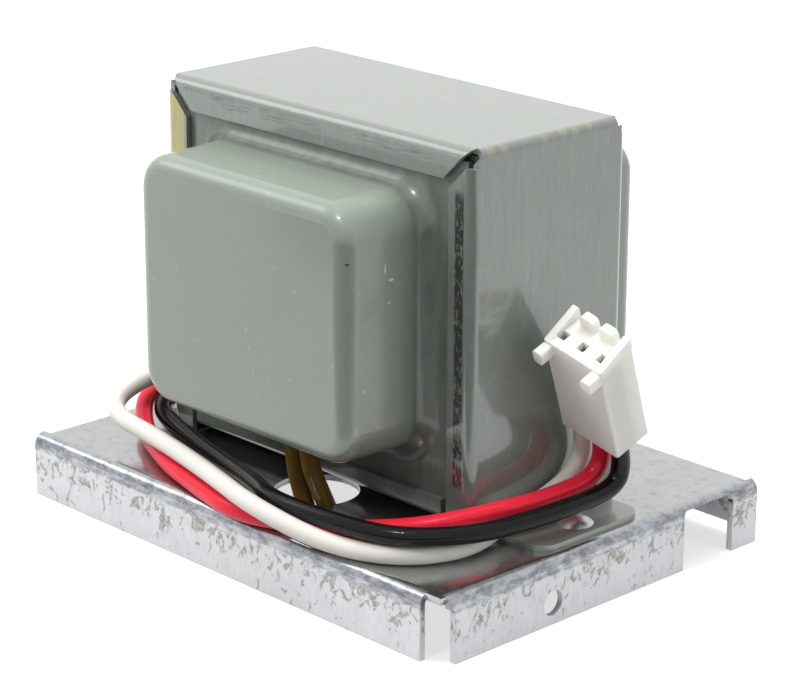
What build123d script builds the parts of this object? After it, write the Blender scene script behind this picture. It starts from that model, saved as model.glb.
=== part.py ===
"""Control transformer on a folded mounting plate, in millimetres.

The origin is the middle of the plate's footprint, on the surface that its flanges stand on.
X runs along the plate's long side, the front winding cover faces -Y, and Z is up.
"""

import os
from math import radians, tan

from build123d import *

os.makedirs("parts", exist_ok=True)

# Clearances
FIT_GAP = 0.05
LOOSE_GAP = 0.3
LEAD_GAP = 0.1
CORE_GAP = 0.1

# Mounting plate, one folded sheet
PLATE_LENGTH = 94.5
PLATE_DEPTH = 69.9
PLATE_HEIGHT = 10.4
PLATE_SHEET = 1.0
PLATE_BEND = 2.0
BACK_FLANGE_LIFT = 2.2
CORNER_NOTCH_X = 4.2
CORNER_NOTCH_Y = 3.0
CORNER_NOTCH_DROP = 1.8
CORNER_TONGUE = 0.9
FLANGE_SLIT = 1.3
CORNER_NOTCH_RADIUS = 0.9
BACK_TAB = 5.9
SIDE_CUT_LENGTH = 11.55
SIDE_CUT_DROP = 0.9
SIDE_CUT_RADIUS = 1.0
SCREW_HOLE = 4.0
SCREW_HOLE_Y = -11.7
SCREW_HOLE_Z = 3.4
LEAD_HOLE = 13.5
LEAD_HOLE_X = 3.0
LEAD_HOLE_Y = -18.3

# Transformer frame, one sheet folded over the core. Its walls clear the core by CORE_GAP.
FRAME_SHEET = 0.9
FRAME_BEND = 1.3
LIP_BEND = 2.0
SIDE_LIP_BEND = 1.5
LIP_WIDTH = 5.0
MITRE_GAP = 1.7
RELIEF_DROP = 2.7
RELIEF_SIDE = 1.6
RELIEF_DEPTH = 1.05
FOOT_WIDTH = 22.3
FOOT_REACH = 10.9
FOOT_CENTRE_Y = -0.8
FOOT_CORNER = 3.2
FOOT_BEND = 1.6
FOOT_SLOT = 1.2
FOOT_SLOT_RISE = 3.6

# Channel that closes the frame under the core
CHANNEL_RISE = 1.9
CHANNEL_LIP = 3.1
CHANNEL_LIP_LENGTH = 56.4
CHANNEL_BEND = 1.1

# Core of interleaved laminations
TONGUE = 22.2
STACK = 28.6
PACKETS = 6
PACKET_GAP = 0.02

# Deep-drawn winding covers
COVER_SHEET = 0.9
COVER_SIDE_ROOM = 1.5
COVER_END_ROOM = 5.2
COVER_LOW_ROOM = 1.95
COVER_HIGH_ROOM = 3.75
COVER_CORNER = 6.0
COVER_FACE_EDGE = 2.8
COVER_ROOT = 3.0
COVER_DRAFT = 1.8
COVER_HOLE_LENGTH = 13.0
COVER_HOLE_WIDTH = 6.2
COVER_HOLE_X = 5.9
COVER_HOLE_Y = 25.4

# Lead bushings in the covers
BUSHING_WALL = 0.5
BUSHING_RIM = 0.8
BUSHING_RIM_THICK = 0.6

# Coil
BOBBIN_WALL = 0.8
BOBBIN_FLANGE = 1.0
BOBBIN_CORNER = 2.0
COIL_ROOM = 0.4
COIL_CORNER = 6.0
WRAP_THICK = 0.4
LEAD_SLOT_DEPTH = 2.6

# Leads
LEAD = 2.9
CONDUCTOR = 1.3
LEAD_PITCH = 3.0
SPLICE_LENGTH = 6.5
STRIPPED = 6.0

# Rivets through the feet
RIVET_INSET = 4.2
RIVET_SHANK = 3.2
RIVET_HEAD = 6.0
RIVET_HEAD_HIGH = 1.2
RIVET_TAIL = 5.0
RIVET_TAIL_HIGH = 1.0

# Three-way connector on the secondary leads
WAY_PITCH = 3.96
WAY_OFFSET = -1.0
HOUSING_END_WALL = 0.34
HOUSING_DEPTH = 6.7
HOUSING_HEIGHT = 18.1
SOCKET = 1.5
CAVITY = 3.2
MATING_WALL = 1.4
BARREL = 2.6
BARREL_HIGH = 4.0
CONTACT_HIGH = 10.0
CONTACT_SHEET = 0.4
HOUSING_EDGE = 0.4
LOBE_HIGH = 2.1
LOBE_WIDTH = 2.9
LOBE_THICK = 1.4
LOBE_ROUND = 0.9
END_LOBE_WIDTH = 1.2
END_LOBE_HIGH = 1.8
PEG_REACH = 2.4
PEG_WIDTH = 1.9
PEG_HIGH = 2.3
PEG_DROP = 0.3
PEG_ROUND = 0.5
LEAD_INSET = 1.5
HOUSING_FOOT = (41.6, 5.0, 25.1)
HOUSING_WIDTH_DIR = (0.977, -0.022, -0.213)
HOUSING_UP_DIR = (0.181, -0.444, 0.877)

# Leads laid by hand: from the coil, down through a cover's bushing, round the frame to the connector
WHITE_ROUTE = [
    (-8.9, 27.2, 38.5),
    (-8.9, 27.9, 29.0),
    (-8.9, 24.7, 19.5),
    (-12.5, 24.4, 14.9),
    (-22.5, 24.6, 14.9),
    (-35.0, 22.9, 16.4),
    (-39.3, 11.5, 18.0),
    (-38.8, -6.0, 19.3),
    (-38.9, -21.5, 18.9),
    (-35.5, -29.3, 16.0),
    (-20.5, -29.9, 15.2),
    (-4.0, -33.8, 15.2),
    (10.0, -37.6, 15.0),
    (23.0, -34.8, 11.95),
    (34.2, -30.4, 11.95),
    (39.0, -20.5, 12.0),
    (36.3, -10.5, 12.9),
    (36.2, -3.0, 13.9),
    (36.4, 4.4, 16.6),
    (36.89, 5.9, 22.07),
    (37.86, 3.54, 26.77),
]
RED_ROUTE = [
    (-5.9, 27.2, 38.5),
    (-5.9, 27.9, 29.0),
    (-5.9, 25.0, 19.5),
    (-9.5, 29.0, 13.2),
    (-21.0, 30.0, 12.0),
    (-36.5, 28.4, 12.2),
    (-43.2, 14.0, 13.6),
    (-42.6, -4.0, 15.1),
    (-41.0, -16.5, 15.2),
    (-34.0, -23.0, 12.4),
    (-19.0, -30.4, 11.95),
    (-7.0, -33.4, 11.95),
    (4.0, -36.2, 11.95),
    (14.5, -32.4, 11.95),
    (23.0, -27.0, 11.95),
    (32.5, -22.2, 14.1),
    (38.6, -13.0, 16.0),
    (39.2, -4.5, 15.7),
    (40.0, 4.4, 16.6),
    (40.79, 6.0, 21.17),
    (41.76, 3.44, 25.97),
]
BLACK_ROUTE = [
    (-2.9, 27.2, 38.5),
    (-2.9, 27.9, 29.0),
    (-2.9, 25.0, 19.5),
    (-7.0, 21.3, 12.6),
    (-20.0, 20.4, 11.95),
    (-34.2, 21.8, 12.4),
    (-38.4, 12.5, 13.6),
    (-38.2, -6.0, 15.0),
    (-37.2, -18.4, 14.2),
    (-24.5, -20.8, 12.0),
    (-10.0, -24.2, 11.95),
    (0.0, -28.6, 13.6),
    (10.0, -33.7, 15.0),
    (22.0, -33.4, 15.1),
    (33.5, -31.0, 15.0),
    (40.4, -22.5, 15.0),
    (42.2, -14.0, 15.1),
    (43.8, -5.5, 15.6),
    (44.3, 4.6, 16.2),
    (44.67, 5.75, 20.42),
    (45.66, 3.34, 25.17),
]
# Supply leads: down from the coil, through the plate and round in an open loop under it
BROWN_LEFT_ROUTE = [
    (4.4, -24.4, 25.3),
    (4.4, -24.4, 18.5),
    (4.7, -22.8, 11.0),
    (6.8, -21.4, 3.2),
    (15.0, -15.0, 1.5),
    (25.0, -9.0, 1.5),
    (34.0, -5.0, 1.5),
    (39.0, 4.0, 1.5),
    (36.0, 16.0, 1.5),
    (26.0, 22.0, 1.5),
    (14.0, 20.0, 1.5),
]
BROWN_RIGHT_ROUTE = [
    (7.5, -24.4, 25.3),
    (7.5, -24.4, 18.5),
    (7.5, -21.0, 11.0),
    (8.0, -17.8, 4.0),
    (13.0, -9.0, 1.5),
    (22.0, -3.6, 1.5),
    (31.0, 0.0, 1.5),
    (33.6, 9.0, 1.5),
    (26.0, 16.0, 1.5),
    (15.0, 15.5, 1.5),
]

# Sizes worked out from the driving dimensions
PLATE_X = PLATE_LENGTH / 2
PLATE_Y = PLATE_DEPTH / 2
PLATE_UNDER = PLATE_HEIGHT - PLATE_SHEET
BACK_FLANGE_X = PLATE_X - PLATE_SHEET - LOOSE_GAP
CORE_WIDTH = 3 * TONGUE
CORE_HEIGHT = 2.5 * TONGUE
WINDOW_HEIGHT = 1.5 * TONGUE
YOKE = TONGUE / 2
PACKET = STACK / PACKETS
FRAME_INNER_X = CORE_WIDTH / 2 + CORE_GAP
FRAME_X = FRAME_INNER_X + FRAME_SHEET
LIP_BACK = STACK / 2 + COVER_SHEET + 3 * FIT_GAP
FRAME_Y = LIP_BACK + FRAME_SHEET
WALL_BOTTOM = PLATE_HEIGHT + LOOSE_GAP
FOOT_TOP = PLATE_HEIGHT + FRAME_SHEET
FOOT_SLOT_TOP = PLATE_HEIGHT + FOOT_SLOT_RISE
FOOT_X = FRAME_X + FOOT_REACH
RIVET_X = FOOT_X - RIVET_INSET
CHANNEL_LIFT = PLATE_HEIGHT + CHANNEL_RISE
CORE_BOTTOM = CHANNEL_LIFT + FRAME_SHEET
CORE_MIDDLE = CORE_BOTTOM + CORE_HEIGHT / 2
FRAME_TOP = CORE_BOTTOM + CORE_HEIGHT + 2 * CORE_GAP + FRAME_SHEET
LIP_WINDOW_X = FRAME_X - LIP_WIDTH
LIP_WINDOW_TOP = FRAME_TOP - LIP_WIDTH
MITRE_X = FRAME_X - LIP_WIDTH / 2
MITRE_Z = FRAME_TOP - LIP_WIDTH / 2
MITRE_LENGTH = 2 * LIP_WIDTH
BOBBIN_X = TONGUE / 2 + FIT_GAP
BOBBIN_Y = STACK / 2 + FIT_GAP
BOBBIN_HALF = WINDOW_HEIGHT / 2 - FIT_GAP
TUBE_X = BOBBIN_X + BOBBIN_WALL
TUBE_Y = BOBBIN_Y + BOBBIN_WALL
COIL_BUILD = YOKE - BOBBIN_WALL - WRAP_THICK - 2 * FIT_GAP - COIL_ROOM
COIL_X = TUBE_X + COIL_BUILD
COIL_Y = TUBE_Y + COIL_BUILD
BOBBIN_BOTTOM = CORE_MIDDLE - BOBBIN_HALF
BOBBIN_TOP = CORE_MIDDLE + BOBBIN_HALF
BOBBIN_FLANGE_X = COIL_X + WRAP_THICK + FIT_GAP
BOBBIN_FLANGE_Y = COIL_Y + WRAP_THICK + FIT_GAP
WINDING_HEIGHT = BOBBIN_HALF - 1.5 * BOBBIN_FLANGE - 2 * FIT_GAP
WINDING_LOW = BOBBIN_BOTTOM + BOBBIN_FLANGE + FIT_GAP
WINDING_HIGH = CORE_MIDDLE + BOBBIN_FLANGE / 2 + FIT_GAP
LEAD_SLOT_LENGTH = 3 * LEAD_PITCH + 2 * LEAD_GAP
COVER_FLANGE_FRONT = LIP_BACK - 2 * FIT_GAP
COVER_FLANGE_BACK = COVER_FLANGE_FRONT - COVER_SHEET
COVER_FLANGE_X = FRAME_X - LIP_BEND
COVER_FLANGE_HIGH = FRAME_TOP - LIP_BEND
COVER_FLANGE_LOW = CORE_BOTTOM + FIT_GAP
COVER_WIDTH = 2 * (BOBBIN_FLANGE_X + COVER_SIDE_ROOM + COVER_SHEET)
COVER_REACH = BOBBIN_FLANGE_Y + COVER_END_ROOM + COVER_SHEET
COVER_BOTTOM = BOBBIN_BOTTOM - COVER_LOW_ROOM - COVER_SHEET
COVER_TOP = BOBBIN_TOP + COVER_HIGH_ROOM + COVER_SHEET
COVER_MIDDLE = (COVER_BOTTOM + COVER_TOP) / 2
COVER_HEIGHT = COVER_TOP - COVER_BOTTOM
DRAFT_RISE = (COVER_REACH - COVER_FLANGE_BACK) * tan(radians(COVER_DRAFT))
BUSHING_SEAT = COVER_BOTTOM + DRAFT_RISE + COVER_SHEET + LOOSE_GAP
HOUSING_WIDTH = 2 * WAY_PITCH + CAVITY + 2 * HOUSING_END_WALL
HOUSING_Y = HOUSING_DEPTH / 2


def fold(corners, radius, sheet):
    """Outline of a sheet folded at right angles. The corners follow its outer side, its inside is to their right."""
    outer = [Vector(*corner) for corner in corners]
    runs = [(end - start).normalized() for start, end in zip(outer, outer[1:])]
    rights = [Vector(run.Y, -run.X) for run in runs]
    turns = [before.cross(after).Z for before, after in zip(runs, runs[1:])]
    middle = [corner + (before + after) * sheet for corner, before, after in zip(outer[1:], rights, rights[1:])]
    inner = [outer[0] + rights[0] * sheet, *middle, outer[-1] + rights[-1] * sheet]
    with BuildLine() as outline:
        FilletPolyline(*outer, radius=radius)
        FilletPolyline(*inner, radius=[radius + sheet if turn > 0 else radius - sheet for turn in turns])
        Line(outer[0], inner[0])
        Line(outer[-1], inner[-1])
    return outline.edges()


# Mounting plate
with BuildPart() as base_plate:
    # The top with its left and right flanges, from the front bend to the back edge
    with BuildSketch(Plane.XZ.offset(-PLATE_Y)):
        corners = [(-PLATE_X, 0), (-PLATE_X, PLATE_HEIGHT), (PLATE_X, PLATE_HEIGHT), (PLATE_X, 0)]
        make_face(fold(corners, PLATE_BEND, PLATE_SHEET))
    extrude(amount=PLATE_DEPTH - PLATE_BEND)
    # Room for the back flange between the side flanges
    with BuildSketch(Plane.XY):
        with Locations((0, PLATE_Y)):
            Rectangle(2 * BACK_FLANGE_X, 2 * PLATE_BEND)
    extrude(amount=PLATE_HEIGHT, mode=Mode.SUBTRACT)
    # The left flange stops short of the front one, the right one at the open corner
    with BuildSketch(Plane.YZ.offset(-PLATE_X)):
        with Locations((-PLATE_Y + PLATE_BEND + FLANGE_SLIT / 2, 0)):
            Rectangle(FLANGE_SLIT, 2 * PLATE_UNDER)
    extrude(amount=PLATE_SHEET, mode=Mode.SUBTRACT)
    with BuildSketch(Plane.YZ.offset(PLATE_X)) as right_end:
        with Locations((-PLATE_Y, 0)):
            Rectangle(2 * CORNER_NOTCH_Y, 2 * (PLATE_HEIGHT - CORNER_NOTCH_DROP))
        fillet(right_end.vertices().group_by(Axis.Y)[-1].sort_by(Axis.X)[-1], CORNER_NOTCH_RADIUS)
    extrude(amount=-PLATE_BEND, mode=Mode.SUBTRACT)
    # Opening in the right flange behind the frame
    with BuildSketch(Plane.YZ.offset(PLATE_X)) as side_cut:
        with Locations((PLATE_Y - BACK_TAB - SIDE_CUT_LENGTH / 2, 0)):
            Rectangle(SIDE_CUT_LENGTH, 2 * (PLATE_HEIGHT - SIDE_CUT_DROP))
        fillet(side_cut.vertices().group_by(Axis.Y)[-1], SIDE_CUT_RADIUS)
    extrude(amount=-PLATE_BEND, mode=Mode.SUBTRACT)
    # Back flange, folded down between the side flanges
    with BuildSketch(Plane.YZ.offset(-BACK_FLANGE_X)):
        corners = [(PLATE_Y - PLATE_BEND, PLATE_HEIGHT), (PLATE_Y, PLATE_HEIGHT), (PLATE_Y, BACK_FLANGE_LIFT)]
        make_face(fold(corners, PLATE_BEND - FIT_GAP, PLATE_SHEET))
    extrude(amount=2 * BACK_FLANGE_X)
    # Front flange, from the left edge to the open corner
    with BuildSketch(Plane.YZ.offset(-PLATE_X)):
        corners = [(-PLATE_Y, 0), (-PLATE_Y, PLATE_HEIGHT), (-PLATE_Y + PLATE_BEND, PLATE_HEIGHT)]
        make_face(fold(corners, PLATE_BEND - FIT_GAP, PLATE_SHEET))
    extrude(amount=PLATE_LENGTH - CORNER_NOTCH_X)
    # Short tongue that the front fold leaves at the open corner
    with BuildSketch(Plane.YZ.offset(PLATE_X - CORNER_NOTCH_X)):
        corners = [
            (-PLATE_Y + CORNER_TONGUE, PLATE_UNDER),
            (-PLATE_Y + CORNER_TONGUE, PLATE_HEIGHT),
            (-PLATE_Y + PLATE_BEND, PLATE_HEIGHT),
            (-PLATE_Y + PLATE_BEND, PLATE_UNDER),
        ]
        Polygon(*corners, align=None)
    extrude(amount=CORNER_NOTCH_X - CORNER_TONGUE)
    # Holes: leads, rivets and the two side screws
    with Locations((LEAD_HOLE_X, LEAD_HOLE_Y, PLATE_HEIGHT)):
        Hole(LEAD_HOLE / 2, depth=PLATE_SHEET)
    with Locations(*[(side * RIVET_X, FOOT_CENTRE_Y, PLATE_HEIGHT) for side in (-1, 1)]):
        Hole(RIVET_SHANK / 2 + FIT_GAP, depth=PLATE_SHEET)
    with BuildSketch(Plane.YZ.offset(-PLATE_X)):
        with Locations((SCREW_HOLE_Y, SCREW_HOLE_Z)):
            Circle(SCREW_HOLE / 2)
    extrude(amount=PLATE_LENGTH, mode=Mode.SUBTRACT)
base_plate.part.label = "base_plate"
export_step(base_plate.part, "parts/base_plate.step")

# Transformer frame: walls, top, mitred lips and feet of one sheet
with BuildPart() as shell_frame:
    # Left wall with its front and back lips
    with BuildSketch(Plane.XY.offset(WALL_BOTTOM)):
        corners = [(-LIP_WINDOW_X, -FRAME_Y), (-FRAME_X, -FRAME_Y), (-FRAME_X, FRAME_Y), (-LIP_WINDOW_X, FRAME_Y)]
        make_face(fold(corners, SIDE_LIP_BEND, FRAME_SHEET))
    extrude(amount=FRAME_TOP - FRAME_BEND - WALL_BOTTOM)
    # Slots that free the foot from the wall
    with BuildSketch(Plane.YZ.offset(-FRAME_X)):
        with Locations((FOOT_CENTRE_Y, 0)):
            Rectangle(FOOT_WIDTH + 2 * FOOT_SLOT, 2 * FOOT_SLOT_TOP)
    extrude(amount=FRAME_SHEET, mode=Mode.SUBTRACT)
    # Foot turned out from the wall
    with BuildSketch(Plane.XZ.offset(-FOOT_CENTRE_Y)):
        corners = [(-FOOT_X, FOOT_TOP), (-FRAME_X, FOOT_TOP), (-FRAME_X, FOOT_SLOT_TOP)]
        make_face(fold(corners, FOOT_BEND, FRAME_SHEET))
    extrude(amount=FOOT_WIDTH / 2, both=True)
    fillet(shell_frame.edges().filter_by(Axis.Z).group_by(Axis.X)[0], FOOT_CORNER)
    with Locations((-RIVET_X, FOOT_CENTRE_Y, FOOT_TOP)):
        Hole(RIVET_SHANK / 2 + FIT_GAP, depth=FRAME_SHEET)
    mirror(about=Plane.YZ)
    # Top sheet, folded down into both walls
    with BuildSketch(Plane.XZ):
        corners = [
            (-FRAME_X, FRAME_TOP - FRAME_BEND - FRAME_SHEET),
            (-FRAME_X, FRAME_TOP),
            (FRAME_X, FRAME_TOP),
            (FRAME_X, FRAME_TOP - FRAME_BEND - FRAME_SHEET),
        ]
        make_face(fold(corners, FRAME_BEND, FRAME_SHEET))
    extrude(amount=FRAME_Y - LIP_BEND, both=True)
    # Its bends to the front and back lips
    with BuildSketch(Plane.YZ):
        bend_end = FRAME_TOP - LIP_BEND - FIT_GAP
        corners = [(-FRAME_Y, bend_end), (-FRAME_Y, FRAME_TOP), (FRAME_Y, FRAME_TOP), (FRAME_Y, bend_end)]
        make_face(fold(corners, LIP_BEND, FRAME_SHEET))
    extrude(amount=FRAME_X - FRAME_BEND, both=True)
    # The flat lips below those bends, between the bends of the walls
    for lip_face in (FRAME_Y, -LIP_BACK):
        with BuildSketch(Plane.XZ.offset(lip_face)):
            with Locations((0, (LIP_WINDOW_TOP + FRAME_TOP - LIP_BEND) / 2)):
                Rectangle(2 * (FRAME_X - SIDE_LIP_BEND), LIP_WIDTH - LIP_BEND)
        extrude(amount=-FRAME_SHEET)
    # Mitre gaps and corner reliefs, cut through both lip planes
    for lip_plane in (Plane.XZ.offset(FRAME_Y), Plane.XZ.offset(-FRAME_Y + LIP_BEND)):
        with BuildSketch(lip_plane):
            for side in (-1, 1):
                with Locations(Location((side * MITRE_X, MITRE_Z), -side * 45)):
                    Rectangle(MITRE_GAP, MITRE_LENGTH)
        extrude(amount=-LIP_BEND, mode=Mode.SUBTRACT)
    for relief_plane in (Plane.XZ.offset(FRAME_Y), Plane.XZ.offset(-FRAME_Y + RELIEF_DEPTH)):
        with BuildSketch(relief_plane):
            with Locations(*[(side * (FRAME_X - RELIEF_SIDE / 2), FRAME_TOP - RELIEF_DROP / 2) for side in (-1, 1)]):
                Rectangle(RELIEF_SIDE, RELIEF_DROP)
        extrude(amount=-RELIEF_DEPTH, mode=Mode.SUBTRACT)
shell_frame.part.label = "shell_frame"
export_step(shell_frame.part, "parts/shell_frame.step")

# Channel under the core, with its lips in the plane of the frame's lips
with BuildPart() as bottom_channel:
    with BuildSketch(Plane.YZ):
        corners = [
            (-FRAME_Y, CHANNEL_LIFT + CHANNEL_LIP),
            (-FRAME_Y, CHANNEL_LIFT),
            (FRAME_Y, CHANNEL_LIFT),
            (FRAME_Y, CHANNEL_LIFT + CHANNEL_LIP),
        ]
        make_face(fold(corners[::-1], CHANNEL_BEND, FRAME_SHEET))
    extrude(amount=CHANNEL_LIP_LENGTH / 2, both=True)
    # The web runs on between the walls
    with BuildSketch(Plane.XY.offset(CHANNEL_LIFT)):
        Rectangle(2 * (FRAME_INNER_X - FIT_GAP), 2 * (FRAME_Y - LIP_BEND))
    extrude(amount=FRAME_SHEET)
bottom_channel.part.label = "bottom_channel"
export_step(bottom_channel.part, "parts/bottom_channel.step")

# Core: packets of E laminations, turned end for end by turns, each closed by a packet of I laminations
with BuildPart() as e_laminations:
    for packet in range(PACKETS):
        front = -STACK / 2 + packet * PACKET
        up = 1 if packet % 2 == 0 else -1
        with BuildSketch(Plane.XZ.offset(-front)):
            with Locations((0, CORE_MIDDLE - up * YOKE / 2)):
                Rectangle(CORE_WIDTH, CORE_HEIGHT - YOKE)
            with Locations(*[(side * (TONGUE + YOKE) / 2, CORE_MIDDLE) for side in (-1, 1)]):
                Rectangle(YOKE, WINDOW_HEIGHT, mode=Mode.SUBTRACT)
        extrude(amount=PACKET_GAP - PACKET)
e_laminations.part.label = "e_laminations"
export_step(e_laminations.part, "parts/e_laminations.step")

with BuildPart() as i_laminations:
    for packet in range(PACKETS):
        front = -STACK / 2 + packet * PACKET
        up = 1 if packet % 2 == 0 else -1
        with BuildSketch(Plane.XZ.offset(-front)):
            with Locations((0, CORE_MIDDLE + up * (CORE_HEIGHT - YOKE) / 2)):
                Rectangle(CORE_WIDTH, YOKE)
        extrude(amount=PACKET_GAP - PACKET)
i_laminations.part.label = "i_laminations"
export_step(i_laminations.part, "parts/i_laminations.step")

# Deep-drawn cover over each end of the coil
with BuildPart() as front_end_bell:
    # Flange, held between the core and the frame's lips
    with BuildSketch(Plane.XZ.offset(COVER_FLANGE_BACK)):
        with Locations((0, (COVER_FLANGE_LOW + COVER_FLANGE_HIGH) / 2)):
            Rectangle(2 * COVER_FLANGE_X, COVER_FLANGE_HIGH - COVER_FLANGE_LOW)
    extrude(amount=COVER_SHEET)
    # Drawn box with a slight draft, rounded at its face and at its root
    with BuildSketch(Plane.XZ.offset(COVER_FLANGE_BACK)):
        with Locations((0, COVER_MIDDLE)):
            RectangleRounded(COVER_WIDTH, COVER_HEIGHT, COVER_CORNER)
    extrude(amount=COVER_REACH - COVER_FLANGE_BACK, taper=COVER_DRAFT)
    fillet(front_end_bell.faces().sort_by(Axis.Y)[0].edges(), COVER_FACE_EDGE)
    flange_front = front_end_bell.faces().filter_by(Axis.Y).sort_by(Axis.Y)[1]
    fillet(flange_front.inner_wires()[0].edges(), COVER_ROOT)
    # Hollow of the box, one sheet smaller all round
    with BuildSketch(Plane.XZ.offset(COVER_FLANGE_BACK)):
        with Locations((0, COVER_MIDDLE)):
            RectangleRounded(
                COVER_WIDTH - 2 * COVER_SHEET,
                COVER_HEIGHT - 2 * COVER_SHEET,
                COVER_CORNER - COVER_SHEET,
            )
    extrude(amount=COVER_REACH - COVER_SHEET - COVER_FLANGE_BACK, taper=COVER_DRAFT, mode=Mode.SUBTRACT)
    hollow_face = front_end_bell.faces().filter_by(Axis.Y).sort_by(Axis.Y)[1]
    fillet(hollow_face.outer_wire().edges(), COVER_FACE_EDGE - COVER_SHEET)
    flange_rear = front_end_bell.faces().filter_by(Axis.Y).sort_by(Axis.Y)[-1]
    fillet(flange_rear.inner_wires()[0].edges(), COVER_ROOT + COVER_SHEET)
    # Oblong hole for the leads in the bottom wall
    with BuildSketch(Plane.XY.offset(COVER_BOTTOM + COVER_ROOT)):
        with Locations((COVER_HOLE_X, -COVER_HOLE_Y)):
            SlotOverall(COVER_HOLE_LENGTH, COVER_HOLE_WIDTH)
    extrude(amount=-2 * COVER_ROOT, mode=Mode.SUBTRACT)
front_end_bell.part.label = "front_end_bell"
export_step(front_end_bell.part, "parts/front_end_bell.step")

with BuildPart() as rear_end_bell:
    add(front_end_bell.part, rotation=(0, 0, 180))
rear_end_bell.part.label = "rear_end_bell"
export_step(rear_end_bell.part, "parts/rear_end_bell.step")

# Bushing pushed into each cover's lead hole from inside
with BuildPart() as front_lead_bushing:
    with BuildSketch(Plane.XY.offset(BUSHING_SEAT)):
        with Locations((COVER_HOLE_X, -COVER_HOLE_Y)):
            SlotOverall(COVER_HOLE_LENGTH + 2 * BUSHING_RIM, COVER_HOLE_WIDTH + 2 * BUSHING_RIM)
    extrude(amount=BUSHING_RIM_THICK)
    with BuildSketch(Plane.XY.offset(COVER_BOTTOM)):
        with Locations((COVER_HOLE_X, -COVER_HOLE_Y)):
            SlotOverall(COVER_HOLE_LENGTH - 2 * FIT_GAP, COVER_HOLE_WIDTH - 2 * FIT_GAP)
    extrude(amount=BUSHING_SEAT - COVER_BOTTOM)
    with BuildSketch(Plane.XY.offset(COVER_BOTTOM)):
        with Locations((COVER_HOLE_X, -COVER_HOLE_Y)):
            SlotOverall(COVER_HOLE_LENGTH - 2 * BUSHING_WALL, COVER_HOLE_WIDTH - 2 * BUSHING_WALL)
    extrude(amount=2 * COVER_ROOT, mode=Mode.SUBTRACT)
front_lead_bushing.part.label = "front_lead_bushing"
export_step(front_lead_bushing.part, "parts/front_lead_bushing.step")

with BuildPart() as rear_lead_bushing:
    add(front_lead_bushing.part, rotation=(0, 0, 180))
rear_lead_bushing.part.label = "rear_lead_bushing"
export_step(rear_lead_bushing.part, "parts/rear_lead_bushing.step")

# Bobbin on the core's tongue, with a middle flange between the two windings
with BuildPart() as bobbin:
    with BuildSketch(Plane.XY.offset(BOBBIN_BOTTOM)):
        Rectangle(2 * TUBE_X, 2 * TUBE_Y)
    extrude(amount=2 * BOBBIN_HALF)
    for flange_bottom in (BOBBIN_BOTTOM, CORE_MIDDLE - BOBBIN_FLANGE / 2, BOBBIN_TOP - BOBBIN_FLANGE):
        with BuildSketch(Plane.XY.offset(flange_bottom)):
            RectangleRounded(2 * BOBBIN_FLANGE_X, 2 * BOBBIN_FLANGE_Y, BOBBIN_CORNER)
        extrude(amount=BOBBIN_FLANGE)
    with BuildSketch(Plane.XY.offset(BOBBIN_BOTTOM)):
        Rectangle(2 * BOBBIN_X, 2 * BOBBIN_Y)
    extrude(amount=2 * BOBBIN_HALF, mode=Mode.SUBTRACT)
    # Lead slots in the bottom flange, above the covers' bushings
    with BuildSketch(Plane.XY.offset(BOBBIN_BOTTOM)):
        with Locations(*[(side * COVER_HOLE_X, -side * BOBBIN_FLANGE_Y) for side in (-1, 1)]):
            Rectangle(LEAD_SLOT_LENGTH, 2 * LEAD_SLOT_DEPTH)
    extrude(amount=BOBBIN_FLANGE, mode=Mode.SUBTRACT)
bobbin.part.label = "bobbin"
export_step(bobbin.part, "parts/bobbin.step")

# Windings, each in its half of the bobbin under a wrap of tape
for level, winding_name, wrap_name in (
    (WINDING_LOW, "primary_winding", "primary_wrap"),
    (WINDING_HIGH, "secondary_winding", "secondary_wrap"),
):
    with BuildPart() as winding:
        with BuildSketch(Plane.XY.offset(level)):
            RectangleRounded(2 * COIL_X, 2 * COIL_Y, COIL_CORNER)
            Rectangle(2 * (TUBE_X + FIT_GAP), 2 * (TUBE_Y + FIT_GAP), mode=Mode.SUBTRACT)
        extrude(amount=WINDING_HEIGHT)
    winding.part.label = winding_name
    export_step(winding.part, f"parts/{winding_name}.step")

    with BuildPart() as wrap:
        with BuildSketch(Plane.XY.offset(level)):
            RectangleRounded(2 * (COIL_X + WRAP_THICK), 2 * (COIL_Y + WRAP_THICK), COIL_CORNER + WRAP_THICK)
            RectangleRounded(2 * (COIL_X + FIT_GAP), 2 * (COIL_Y + FIT_GAP), COIL_CORNER + FIT_GAP, mode=Mode.SUBTRACT)
        extrude(amount=WINDING_HEIGHT)
    wrap.part.label = wrap_name
    export_step(wrap.part, f"parts/{wrap_name}.step")

# Rivets through the feet and the plate
with BuildPart() as foot_rivets:
    with BuildSketch(Plane.XZ.offset(-FOOT_CENTRE_Y)):
        with BuildLine():
            Line((RIVET_X, PLATE_UNDER - RIVET_TAIL_HIGH), (RIVET_X, FOOT_TOP + RIVET_HEAD_HIGH))
            RadiusArc(
                (RIVET_X, FOOT_TOP + RIVET_HEAD_HIGH),
                (RIVET_X + RIVET_HEAD / 2, FOOT_TOP),
                (RIVET_HEAD**2 / 4 + RIVET_HEAD_HIGH**2) / (2 * RIVET_HEAD_HIGH),
            )
            Polyline(
                (RIVET_X + RIVET_HEAD / 2, FOOT_TOP),
                (RIVET_X + RIVET_SHANK / 2, FOOT_TOP),
                (RIVET_X + RIVET_SHANK / 2, PLATE_UNDER),
                (RIVET_X + RIVET_TAIL / 2, PLATE_UNDER),
                (RIVET_X + RIVET_TAIL / 2, PLATE_UNDER - RIVET_TAIL_HIGH),
                (RIVET_X, PLATE_UNDER - RIVET_TAIL_HIGH),
            )
        make_face()
    revolve(axis=Axis((RIVET_X, FOOT_CENTRE_Y, 0), (0, 0, 1)))
    chamfer(foot_rivets.edges().group_by(Axis.Z)[0], RIVET_TAIL_HIGH / 3)
    mirror(about=Plane.YZ)
foot_rivets.part.label = "foot_rivets"
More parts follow.
